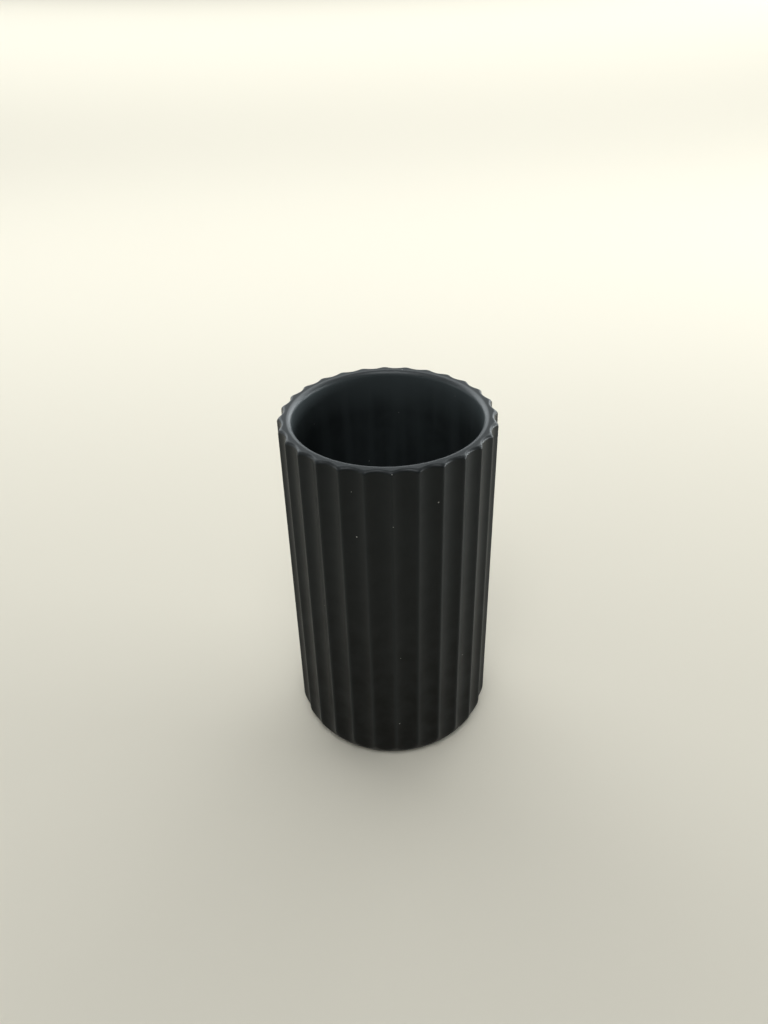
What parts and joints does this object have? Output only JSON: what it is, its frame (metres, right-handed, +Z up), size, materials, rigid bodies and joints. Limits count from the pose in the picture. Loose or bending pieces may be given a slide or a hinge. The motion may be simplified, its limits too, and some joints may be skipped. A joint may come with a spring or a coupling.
{
  "type": "candle jar",
  "caption": "Tall round candle jar, open and empty, with a fluted matte black wall, a rounded scalloped rim, a curved-in base and a stick-on pad under its foot.",
  "frame": {"origin": "middle of the pad's underside, on the surface the jar stands on", "axes": "+Z up along the jar's axis and out of its mouth; a ridge between two flutes faces the front, -Y, and others face +X, -X and +Y"},
  "size_m": [0.076, 0.076, 0.1325],
  "materials": {
    "jar": "matte black",
    "base_pad": "matte"
  },
  "bodies": {
    "root": {"jar": "jar", "base_pad": "base_pad"}
  },
  "joints": []
}
